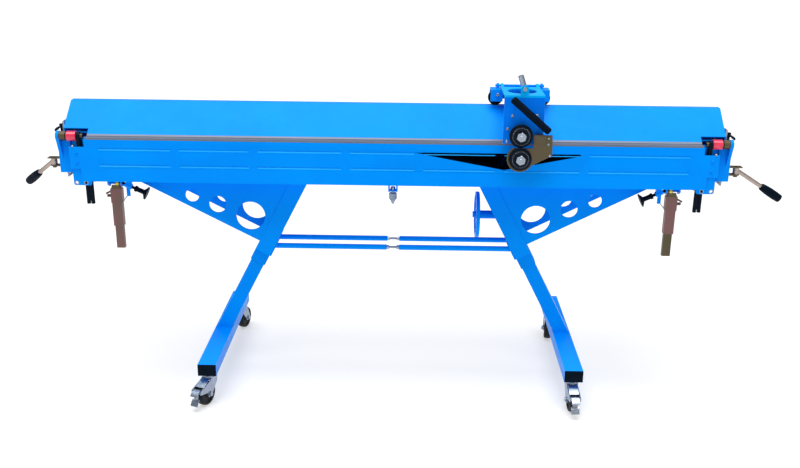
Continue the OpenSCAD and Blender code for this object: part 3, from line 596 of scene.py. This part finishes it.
def carried(node, bevel):
    """The CAD node's own shape with its coplanar faces joined and its edges rounded."""
    source = frame["nodes"][node]
    bm = bmesh.new()
    bm.from_mesh(source.data)
    bmesh.ops.remove_doubles(bm, verts=bm.verts, dist=2e-6)
    bmesh.ops.dissolve_limit(bm, angle_limit=math.radians(0.3), verts=bm.verts, edges=bm.edges)
    slot = slot_of[node]
    publish(node + "_fine", bm, source["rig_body"], FINISH.get(node, slot), [node], bevel)


for node, width in SOFT.items():
    carried(node, width)

# ---- slitter ------------------------------------------------------------------------------

KNURL_TEETH = 72
KNIFE_STUDS = 30
NUT_TURN = math.radians(10)


def knife(name, node, joint, body):
    """A cutting disc with a knurled boss, a ring of studs and the nut that holds it."""
    low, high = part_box(node)
    centre = pivot(joint)
    radius = (high.x - low.x) / 2
    boss = radius - 0.006
    depth = high.y - low.y
    # Local Z runs from the nut's outer face back through the collar, the boss and the cutting disc.
    place = basis((centre.x, low.y, centre.z), (0, 1, 0))

    def knurl(a, h, r):
        return r - 0.0007 * wave(a, KNURL_TEETH) if r == boss else r

    bm = bmesh.new()
    profile = [
        (0, 0.0088), (0.0192, 0.0088), (0.0202, 0.0096), (0.0202, 0.0112), (0.0222, 0.0112),
        (0.0226, 0.0122), (0.0238, 0.0122), (0.0242, 0.0112), (boss - 0.0016, 0.0112), (boss, 0.0128),
        (boss, 0.0176), (radius - 0.0014, 0.0180), (radius, 0.0192), (radius, 0.0246),
        (radius - 0.0012, 0.0257), (0, 0.0257),
    ]
    lathe(bm, profile, place, 4 * KNURL_TEETH, knurl)
    publish(name + "_disc", bm, body, "black_steel", [node], sharp=35)

    bm = bmesh.new()
    stud = [(0, 0), (0.0006, 0.0001), (0.0010, 0.0005), (0.0010, 0.0012), (0, 0.0012)]
    reach = boss - 0.0040
    for i in range(KNIFE_STUDS):
        a = 2 * math.pi * i / KNIFE_STUDS
        spot = Matrix.Translation((reach * math.cos(a), reach * math.sin(a), 0.0104))
        lathe(bm, stud, place @ spot, 10)
    publish(name + "_studs", bm, body, "bright_zinc", sharp=40)

    bm = bmesh.new()
    hexagon(bm, place @ Matrix.Rotation(NUT_TURN, 4, "Z"), 0.027, 0.0089)
    tip = [(0, -0.0016), (0.0048, -0.0016), (0.0056, -0.0008), (0.0056, 0.0004), (0, 0.0004)]
    lathe(bm, tip, place, 32)
    tail = [(0, 0.0255), (0.0060, 0.0255), (0.0060, depth - 0.0006), (0.0054, depth), (0, depth)]
    lathe(bm, tail, place, 32)
    if node == "upper_cutter":
        # The spacer between the upper knife and the slitter's plate.
        rod(bm, place, 0.0120, 0.0256, 0.0478, 48)
    publish(name + "_nut", bm, body, "bright_zinc", sharp=25)


def arm_details():
    """The lower knife's arm has a rolled rim round the knife, a raised pad and three rivets."""
    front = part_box("slitter_arm")[0].y + 0.0025
    centre = pivot("knife_spin_lower")
    start, stop, steps = 35, 240, 56
    angles = [math.radians(start + (stop - start) * i / steps) for i in range(steps + 1)]
    inner, outer = ([(r * math.cos(a), r * math.sin(a)) for a in angles] for r in (0.0375, 0.0418))
    bm = bmesh.new()
    place = basis((centre.x, front, centre.z), (0, 1, 0), (1, 0, 0))
    slab(bm, inner + outer[::-1], place @ Matrix.Translation((0, 0, -0.0022)), 0.0070)
    publish("arm_rim", bm, "slitter_head", "olive_zinc", bevel=0.0005)

    bm = bmesh.new()
    pad = [(0.045, 0.046), (0.080, 0.046), (0.080, 0.073), (0.045, 0.073)]
    slab(bm, pad, upright(centre.x, front + 0.0002, centre.z), 0.0016)
    publish("arm_pad", bm, "slitter_head", "olive_zinc", bevel=0.0006)

    bm = bmesh.new()
    rivet = [(0, 0), (0.0042, 0), (0.0042, 0.0012), (0.0034, 0.0026), (0.0018, 0.0034), (0, 0.0036)]
    for dx, dz in ((0.085, 0.0470), (0.085, 0.0660), (0.0915, 0.0105)):
        lathe(bm, rivet, basis((centre.x + dx, front + 0.0002, centre.z + dz), (0, -1, 0)), 24)
    publish("arm_rivets", bm, "slitter_head", "bright_zinc", sharp=40)


GRIP_R = 0.0115
GRIP_GROOVES = 26


def slitter_grip():
    """The grooved bar across the slitter's plate, on two posts."""
    low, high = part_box("slitter_handle")
    y = low.y + GRIP_R
    # The box goes round the slanting bar's ends, so the bar's axis starts a little inside its corner.
    axis = Vector((high.x - low.x - 0.017, 0, -(high.z - low.z - 0.016))).normalized()
    top = Vector((low.x + 0.0082, y, high.z - 0.0088))
    length = math.hypot(high.x - low.x, high.z - low.z) - 0.024
    profile = [(0, 0), (0.0085, 0), (0.0108, 0.002), (GRIP_R, 0.005)]
    for i in range(GRIP_GROOVES):
        z = 0.012 + (length - 0.024) * i / (GRIP_GROOVES - 1)
        profile += [(GRIP_R, z - 0.0014), (GRIP_R - 0.0007, z), (GRIP_R, z + 0.0014)]
    profile += [(GRIP_R, length - 0.005), (0.0108, length - 0.002), (0.0085, length), (0, length)]
    bm = bmesh.new()
    lathe(bm, profile, basis(top, axis), 40)
    for share in (0.11, 0.78):
        rod(bm, basis(top + axis * length * share, (0, 1, 0)), 0.0052, 0, high.y - y, 24)
    publish("slitter_grip", bm, "slitter_head", "black_plastic", ["slitter_handle"], sharp=40)


def slitter_screws():
    low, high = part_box("slitter_screws")
    bm = bmesh.new()
    for group in clusters("slitter_screws", 0.012):
        x = sum(p.x for p in group) / len(group)
        z = sum(p.z for p in group) / len(group)
        pan_head(bm, basis((x, high.y, z), (0, -1, 0)), 0.0052, high.y - low.y)
    publish("slitter_screw_heads", bm, "slitter_head", "bright_zinc", ["slitter_screws"], sharp=35)


knife("upper_knife", "upper_cutter", "knife_spin_upper", "knife_upper")
knife("lower_knife", "lower_cutter", "knife_spin_lower", "knife_lower")
arm_details()
slitter_grip()
slitter_screws()

# ---- lever grips ----------------------------------------------------------------------------

# The part of a grip that has ribs along it.
RIBS_FROM, RIBS_TO, RIBS_FADE = 0.024, 0.078, 0.006


def long_axis(points, centre, guess):
    """The direction in which the points spread furthest from their centre."""
    spread = Matrix.Diagonal((0, 0, 0))
    for p in points:
        d = p - centre
        for i in range(3):
            for k in range(3):
                spread[i][k] += d[i] * d[k]
    axis = (guess - centre).normalized()
    for _ in range(40):
        axis = (spread @ axis).normalized()
    return axis


def ribbed_grip(side):
    node = "lever_grip_" + side
    knuckle = pivot("lever_fold_" + side)
    points = [v.co.copy() for v in frame["nodes"][node].data.vertices]
    centre = sum(points, Vector()) / len(points)
    axis = long_axis(points, centre, max(points, key=lambda p: (p - knuckle).length))
    if axis.z > 0:
        axis.negate()
    # The grip runs from the middle of one end ring to the middle of the other.
    heights = [(p - centre).dot(axis) for p in points]
    start_ring = [p for p, h in zip(points, heights) if h < min(heights) + 0.0006]
    end_ring = [p for p, h in zip(points, heights) if h > max(heights) - 0.0006]
    start = sum(start_ring, Vector()) / len(start_ring)
    end = sum(end_ring, Vector()) / len(end_ring)
    length = (end - start).length

    profile = [(0, 0), (0.0092, 0), (0.0106, 0.0012), (0.0118, 0.004), (0.0128, 0.012), (0.0142, 0.026)]
    for i in range(22):
        z = 0.028 + 0.046 * i / 21
        profile.append((0.0147 - 0.0009 * ((z - 0.048) / 0.024) ** 2, z))
    profile += [(0.0128, 0.078), (0.0112, length - 0.004), (0.0085, length - 0.001), (0, length)]

    def ribs(a, h, r):
        if not RIBS_FROM < h < RIBS_TO:
            return r
        fade = min(1.0, (h - RIBS_FROM) / RIBS_FADE, (RIBS_TO - h) / RIBS_FADE)
        return r - 0.0011 * fade * wave(a, 14) ** 2

    bm = bmesh.new()
    lathe(bm, profile, basis(start, (end - start).normalized()), 112, ribs)
    publish(node + "_moulded", bm, "lever_" + side, "black_plastic", [node], sharp=50)


for side in ENDS:
    ribbed_grip(side)

# ---- casters --------------------------------------------------------------------------------

TREAD_WIDTH = 0.027
AXLE_NUT = 0.013


def caster_line(end):
    """The stem's pivot, the wheel's, and the level direction from the one to the other."""
    stem = pivot("caster_swivel_" + end)
    hub = pivot("caster_roll_" + end)
    trail = hub - stem
    trail.z = 0
    trail.normalize()
    return stem, hub, trail


def caster(end):
    stem, hub, trail = caster_line(end)
    across = axis_of("caster_roll_" + end)
    low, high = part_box("caster_wheel_" + end)
    radius = (high.z - low.z) / 2
    fork, wheel = "fork_" + end, "wheel_" + end

    bm = bmesh.new()
    half = [
        (0, 0.0015), (0.0115, 0.0015), (0.0125, 0.0022), (0.0125, 0.0045), (0.0150, 0.0052),
        (0.0262, 0.0046), (0.0290, 0.0030), (0.0300, 0.0008), (radius - 0.0055, 0.0002),
        (radius - 0.0022, 0.0018), (radius - 0.0006, 0.0050), (radius, 0.0100),
    ]
    other_half = [(r, TREAD_WIDTH - h) for r, h in half[::-1]]
    lathe(bm, half + other_half, basis(hub - across * TREAD_WIDTH / 2, across, trail), 72)
    publish("caster_tread_" + end, bm, wheel, "wheel_rubber", ["caster_wheel_" + end], sharp=40)

    bm = bmesh.new()
    cap = [(0, -0.003), (0.0095, -0.003), (0.0095, 0.0008), (0.0080, 0.0016), (0, 0.0016)]
    for side in (-1, 1):
        lathe(bm, cap, basis(hub + across * side * 0.0136, across * side, trail), 32)
    publish("caster_hubcap_" + end, bm, wheel, "bright_zinc", sharp=40)

    bm = bmesh.new()
    race = [
        (0.0090, 0.0975), (0.0205, 0.0975), (0.0222, 0.0968), (0.0240, 0.0945), (0.0243, 0.0915),
        (0.0232, 0.0890), (0.0235, 0.0862), (0.0090, 0.0862),
    ]
    rivet = [(0, 0.0835), (0.0075, 0.0835), (0.0088, 0.0850), (0.0088, 0.0870), (0, 0.0870)]
    under_stem = basis((stem.x, stem.y, 0.0), (0, 0, 1))
    lathe(bm, race, under_stem, 56)
    lathe(bm, rivet, under_stem, 32)
    publish("caster_race_" + end, bm, fork, "bright_zinc", sharp=40)

    bm = bmesh.new()
    washer = [(0, 0), (0.0082, 0), (0.0086, 0.0004), (0.0086, 0.0012), (0, 0.0012)]
    for side in (-1, 1):
        place = basis(hub + across * side * 0.0186, across * side, trail)
        lathe(bm, washer, place, 32)
        hexagon(bm, place @ Matrix.Translation((0, 0, 0.0012)), AXLE_NUT, 0.0050)
    publish("caster_axle_nuts_" + end, bm, fork, "bright_zinc", sharp=25)


def brake_pedal(side):
    """The hood over a front wheel and the pressed pedal behind it."""
    end = "front_" + side
    stem, _, trail = caster_line(end)
    # Local X runs along the trail and local Z up, from the stem's axis on the floor.
    ground = basis((stem.x, stem.y, 0), (0, 0, 1), trail)
    sheet = 0.0018

    bm = bmesh.new()
    hood = [(0.020, 0.0885), (0.031, 0.0872), (0.042, 0.0830), (0.052, 0.0765), (0.060, 0.0722)]
    ribbon(bm, hood, ground, 0.031, sheet)
    publish("caster_hood_" + side, bm, "fork_" + end, "bright_zinc", bevel=0.0005)

    bm = bmesh.new()
    upper = [
        (0.0715, 0.0700), (0.0780, 0.0708), (0.0850, 0.0680), (0.0915, 0.0630), (0.0960, 0.0582),
        (0.0975, 0.0560),
    ]
    web = [(0.0790, 0.0650), (0.0805, 0.0560), (0.0830, 0.0450), (0.0860, 0.0360)]
    lower = [
        (0.0835, 0.0405), (0.0870, 0.0380), (0.0905, 0.0335), (0.0935, 0.0285), (0.0960, 0.0235),
        (0.0965, 0.0215),
    ]
    ribbon(bm, upper, ground, 0.0260, sheet)
    ribbon(bm, web, ground, 0.0150, sheet)
    ribbon(bm, lower, ground, 0.0265, sheet)
    for x, z in ((0.0900, 0.0350), (0.0930, 0.0300), (0.0952, 0.0255)):
        ribbon(bm, [(x, z), (x + 0.0012, z - 0.0024)], ground, 0.0265, 0.0032)
    hinge = basis(ground @ Vector((0.076, 0.013, 0.064)), ground.to_3x3() @ Vector((0, -1, 0)))
    rod(bm, hinge, 0.0060, 0, 0.026, 24)
    node = "brake_pedal_" + side
    publish(node + "_pressed", bm, "pedal_" + side, "bright_zinc", [node], bevel=0.0004)


for end in CORNERS:
    caster(end)
for side in ENDS:
    brake_pedal(side)

# ---- stand ----------------------------------------------------------------------------------

TIE_NUT = 0.013


def tie_studs():
    """Threaded studs between the tie tubes, each with two lock nuts."""
    low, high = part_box("tie_turnbuckles")
    z = (low.z + high.z) / 2
    # The box's front and rear are the nuts' corners.
    inset = TIE_NUT / math.sqrt(3) - 0.0010
    bm = bmesh.new()
    for y in (low.y + inset, high.y - inset):
        thread(bm, basis((low.x, y, z), (1, 0, 0)), 0.0040, high.x - low.x, 0.0016)
        for side in (-1, 1):
            hexagon(bm, basis((side * 0.0205, y, z), (-side, 0, 0)), TIE_NUT, 0.0078)
    publish("tie_studs", bm, "stand", "bright_zinc", ["tie_turnbuckles"], sharp=25)


KNOB_R = 0.0130


def crown_knob():
    low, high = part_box("crown_screw")
    axis = pivot("crown_turn")
    height = high.z - low.z

    def knurl(a, h, r):
        return r - 0.0007 * wave(a, 24) if r == KNOB_R else r

    bm = bmesh.new()
    profile = [
        (0, 0), (0.0030, 0), (0.0042, 0.0012), (0.0060, 0.008), (0.0110, 0.016), (0.0128, 0.0175),
        (KNOB_R, 0.0190), (KNOB_R, 0.0350), (0.0122, 0.0372), (0.0100, 0.0380), (0.0050, 0.0380),
        (0.0050, 0.0495), (0.0080, 0.0502), (0.0080, 0.0545), (0.0072, height), (0, height),
    ]
    lathe(bm, profile, basis((axis.x, axis.y, low.z), (0, 0, 1)), 96, knurl)
    publish("crown_adjuster_knob", bm, "crown_adjuster", "bright_zinc", ["crown_screw"], sharp=40)


def foot_welds():
    """Beads where the columns stand on the foot beams."""
    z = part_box("foot_beams")[1].z + 0.0006
    low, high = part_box("stand_columns")
    bm = bmesh.new()
    for side in (-1, 1):
        outer = side * (high.x - 0.001)
        inner = side * (high.x - (high.y - low.y) / math.cos(LEG_LEAN) + 0.001)
        corners = {(x, y): (x, y, z) for x in (outer, inner) for y in (low.y, high.y)}
        for x in (outer, inner):
            bead(bm, corners[x, low.y], corners[x, high.y], 0.0026)
        for y in (low.y, high.y):
            bead(bm, corners[inner, y], corners[outer, y], 0.0026)
    publish("foot_welds", bm, "stand", "blue_paint", sharp=60)


tie_studs()
crown_knob()
foot_welds()

# ---- apron and trolley ------------------------------------------------------------------------

# Bolt heads lower than this stand on top of the apron, and the others on its front.
TOP_HEAD = 0.008


def apron_bolts():
    painted = bmesh.new()
    plated = bmesh.new()
    for group in clusters("apron_bolts", 0.016):
        low, high = (Vector([pick(p[i] for p in group) for i in range(3)]) for pick in (min, max))
        middle = ((low.x + high.x) / 2, (low.y + high.y) / 2, (low.z + high.z) / 2)
        size = high - low
        if size.z < TOP_HEAD:
            pan_head(plated, basis((middle[0], middle[1], low.z), (0, 0, 1)), size.x / 2, size.z)
        else:
            pan_head(painted, basis((middle[0], high.y, middle[2]), (0, -1, 0)), size.x / 2, size.y)
    publish("apron_bolt_heads", plated, "apron", "bright_zinc", ["apron_bolts"], sharp=35)
    publish("apron_painted_heads", painted, "apron", "blue_paint", sharp=35)


def tab_rings(side):
    """Rolled rims round the two holes of a corner tab."""
    mount = mounts["tab_holes_" + side]
    reach = mount["dims"]["spacing_x_mm"] * MM / 2
    bore = mount["dims"]["hole_r_mm"] * MM
    section = [
        (bore + 0.0001, 0), (bore + 0.0026, 0), (bore + 0.0024, 0.0009), (bore + 0.0010, 0.0014),
        (bore + 0.0001, 0.0010),
    ]
    bm = bmesh.new()
    for way in (-1, 1):
        centre = Vector(mount["pos_m"]) + Vector((way * reach, 0.0002, 0))
        ring(bm, section, basis(centre, (0, -1, 0)), 40)
    publish("tab_rings_" + side, bm, "apron", "bright_zinc", sharp=50)


def trolley_ear_screws():
    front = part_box("slitter_trolley")[0].y
    bm = bmesh.new()
    for side, inwards in (("left", 1), ("right", -1)):
        roller = pivot("roller_spin_" + side)
        place = basis((roller.x + inwards * 0.005, front + 0.0005, roller.z + 0.015), (0, -1, 0))
        pan_head(bm, place, 0.0062, 0.0036)
    publish("trolley_ear_screws", bm, "trolley", "bright_zinc", sharp=35)


apron_bolts()
for side in ENDS:
    tab_rings(side)
trolley_ear_screws()

# ---- support arms -----------------------------------------------------------------------------


def arm_fittings(side, way):
    """The bush in a support arm's eye, the shoulder under it, and the rod to the arm's foot."""
    body = "arm_" + side
    eye = pivot("gauge_swing_" + side)
    bm = bmesh.new()
    # The bush is stepped on the inside, where the plunger's nose passes it.
    bush = [
        (0, 0), (0.0105, 0), (0.0118, 0.0010), (0.0118, 0.0094), (0.0108, 0.0102), (0.0060, 0.0104),
        (0.0060, 0.0160), (0, 0.0160),
    ]
    lathe(bm, bush, basis(eye, (-way, 0, 0)))
    publish("arm_bush_" + side, bm, body, "yellow_bush", sharp=40)

    bm = bmesh.new()
    shoulder = [(-0.017, -0.020), (0.017, -0.020), (0.012, -0.004), (-0.012, -0.004)]
    slab(bm, shoulder, upright(eye.x, eye.y - 0.0085, eye.z), 0.0022)
    publish("arm_shoulder_" + side, bm, body, "olive_zinc", bevel=0.0008)

    bm = bmesh.new()
    foot = Vector((eye.x - way * 0.0195, eye.y - 0.006, eye.z - 0.062))
    tip = Vector((eye.x - way * 0.0375, eye.y - 0.012, eye.z - 0.040))
    rod(bm, basis(foot, tip - foot), 0.0016, 0, (tip - foot).length, 16)
    publish("arm_tension_rod_" + side, bm, body, "bright_zinc", sharp=40)


for side, way in (("left", -1), ("right", 1)):
    arm_fittings(side, way)

# ---- seams and grooves in the sheet metal -------------------------------------------------------

FACING_HALF = 0.0268
FACING_LENGTH = 0.2975


def leg_facings():
    """The legs' front and rear plates lie over the gussets, which shows as a seam down each leg."""
    beam_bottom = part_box("lower_beam")[0].z
    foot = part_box("foot_beams")[1]
    gusset_low, gusset_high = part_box("gusset_plates")
    foot_middle = foot.x - FOOT_WIDTH / 2
    top_x = foot_middle - (beam_bottom - foot.z) * math.tan(LEG_LEAN)
    sine, cosine = math.sin(LEG_LEAN), math.cos(LEG_LEAN)
    end_x = top_x + FACING_LENGTH * sine
    end_z = beam_bottom - FACING_LENGTH * cosine
    outline = [
        (top_x - FACING_HALF / cosine, beam_bottom - 0.001),
        (end_x - FACING_HALF * cosine, end_z - FACING_HALF * sine),
        (end_x + FACING_HALF * cosine, end_z + FACING_HALF * sine),
        (top_x + FACING_HALF / cosine, beam_bottom - 0.001),
    ]
    bm = bmesh.new()
    for way in (-1, 1):
        for y, facing in ((gusset_low.y, -1), (gusset_high.y, 1)):
            slab(bm, outline, upright(0, y, 0, way, facing), 0.0018)
    publish("leg_facings", bm, "stand", "blue_paint", bevel=0.0007)


def groove_lips():
    """Sloping lower lips in the apron's pressed grooves, in a lighter blue that is a painted highlight."""
    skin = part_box("apron_beam")[0].y
    # The corners of each groove's floor, by height.
    corners = {}
    for v in frame["nodes"]["apron_beam"].data.vertices:
        if 0.0015 < v.co.y - skin < 0.0035 and abs(v.co.x) < 0.95 and v.co.z > 0.74:
            corners.setdefault(round(v.co.z, 4), set()).add(round(v.co.x, 4))
    heights = sorted(corners)
    bm = bmesh.new()
    for bottom, top in zip(heights[::2], heights[1::2]):
        wedge = [
            (skin + 0.0001, bottom - 0.0024), (skin - 0.0010, bottom - 0.0006),
            (skin + 0.0023, bottom + (top - bottom) * 0.62), (skin + 0.0023, bottom),
        ]
        runs = sorted(corners[bottom])
        for start, stop in zip(runs[::2], runs[1::2]):
            near = [bm.verts.new((start + 0.0002, y, z)) for y, z in wedge]
            away = [bm.verts.new((stop - 0.0002, y, z)) for y, z in wedge]
            bm.faces.new(near)
            bm.faces.new(away[::-1])
            bridge(bm, near, away)
    # The lips take the lighter blue, a painted highlight along each groove.
    publish("groove_lips", bm, "apron", "painted_highlight_blue")


leg_facings()
groove_lips()

# ---- stage, light and camera -----------------------------------------------------------------

SENSOR_MM = 36.0
LENS_MM = 42.985575
# The camera stands this far right of the middle, above the floor and in front of the columns' plane.
CAMERA_RIGHT, CAMERA_UP, CAMERA_FRONT = 0.0713584, 1.5494308, 3.1112063
# It looks down by the pitch, and is turned slightly about the two other axes. Radians.
PITCH, ROLL, YAW = 0.3256, 0.0102, 0.0154


def stage():
    """A plain pale floor that glows a little, in a white room."""
    bm = bmesh.new()
    bmesh.ops.create_grid(bm, x_segments=1, y_segments=1, size=60.0)
    mesh = bpy.data.meshes.new("floor")
    bm.to_mesh(mesh)
    bm.free()
    floor = bpy.data.objects.new("floor", mesh)
    bpy.context.scene.collection.objects.link(floor)
    look = Look("floor", Roughness=0.95, Specular_IOR_Level=0.1, Emission_Strength=0.50)
    look.shader.inputs["Base Color"].default_value = (0.46, 0.46, 0.46, 1)
    look.shader.inputs["Emission Color"].default_value = (1.0, 1.0, 1.0, 1)
    mesh.materials.append(look.mat)

    world = bpy.data.worlds.new("studio")
    world.use_nodes = True
    background = world.node_tree.nodes["Background"]
    background.inputs["Color"].default_value = (1.0, 1.0, 1.0, 1)
    background.inputs["Strength"].default_value = 0.30
    bpy.context.scene.world = world


def sun(name, strength, spread, azimuth, elevation):
    """A soft sun. Its angles are in degrees, with azimuth 0 in front of the object."""
    data = bpy.data.lights.new(name, "SUN")
    data.energy = strength
    data.angle = math.radians(spread)
    lamp = bpy.data.objects.new(name, data)
    a, e = math.radians(azimuth), math.radians(elevation)
    toward = Vector((math.sin(a) * math.cos(e), -math.cos(a) * math.cos(e), math.sin(e)))
    lamp.rotation_euler = toward.to_track_quat("Z", "Y").to_euler()
    bpy.context.scene.collection.objects.link(lamp)


def camera():
    data = bpy.data.cameras.new("camera")
    data.sensor_width = SENSOR_MM
    data.lens = LENS_MM
    data.clip_end = 200
    eye = bpy.data.objects.new("camera", data)
    right = Vector((math.cos(YAW), math.sin(YAW), 0))
    ahead = Vector((-math.sin(YAW) * math.cos(PITCH), math.cos(YAW) * math.cos(PITCH), -math.sin(PITCH)))
    above = right.cross(ahead)
    x_axis = right * math.cos(ROLL) + above * math.sin(ROLL)
    y_axis = above * math.cos(ROLL) - right * math.sin(ROLL)
    matrix = Matrix((x_axis, y_axis, -ahead)).transposed().to_4x4()
    low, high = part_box("stand_columns")
    matrix.translation = Vector((CAMERA_RIGHT, (low.y + high.y) / 2 - CAMERA_FRONT, CAMERA_UP))
    eye.matrix_world = matrix
    bpy.context.scene.collection.objects.link(eye)
    bpy.context.scene.camera = eye


stage()
sun("overhead", strength=3.6, spread=50, azimuth=-20, elevation=79)
sun("front", strength=0.25, spread=60, azimuth=25, elevation=25)
camera()
bpy.context.scene.view_settings.view_transform = "Standard"
